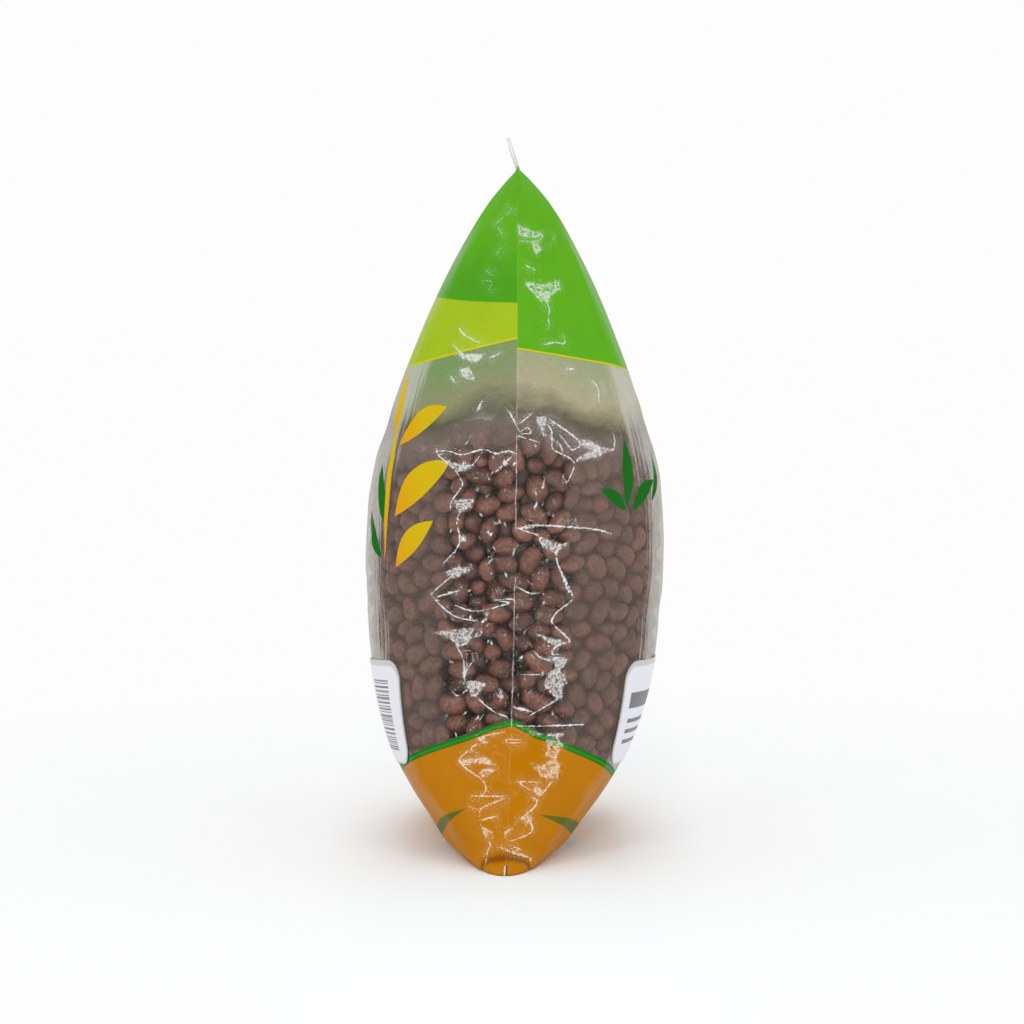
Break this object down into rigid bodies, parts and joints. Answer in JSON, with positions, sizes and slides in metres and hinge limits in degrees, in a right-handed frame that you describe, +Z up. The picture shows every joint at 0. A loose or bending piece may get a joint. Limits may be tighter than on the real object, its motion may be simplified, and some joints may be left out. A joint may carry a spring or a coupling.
{
  "type": "bag of dried beans",
  "caption": "Upright pillow pack of clear film filled with dried red-brown beans, with coloured ends, a sealed top fin and a sticker on each face.",
  "frame": {"origin": "centre of the bounding box on the ground, under the upright pack", "axes": "X across the pack's thickness, from the left face to the right face as seen from its narrow side; Y along its width, with the shown side fold at -Y; Z up"},
  "size_m": [0.1053, 0.175, 0.2435],
  "materials": {
    "film": "glossy clear film over brown beans, printed green at the top and orange at the foot",
    "label": "satin white sticker"
  },
  "bodies": {
    "root": {"bag": "film", "sticker_left": "label", "sticker_right": "label"}
  },
  "joints": []
}
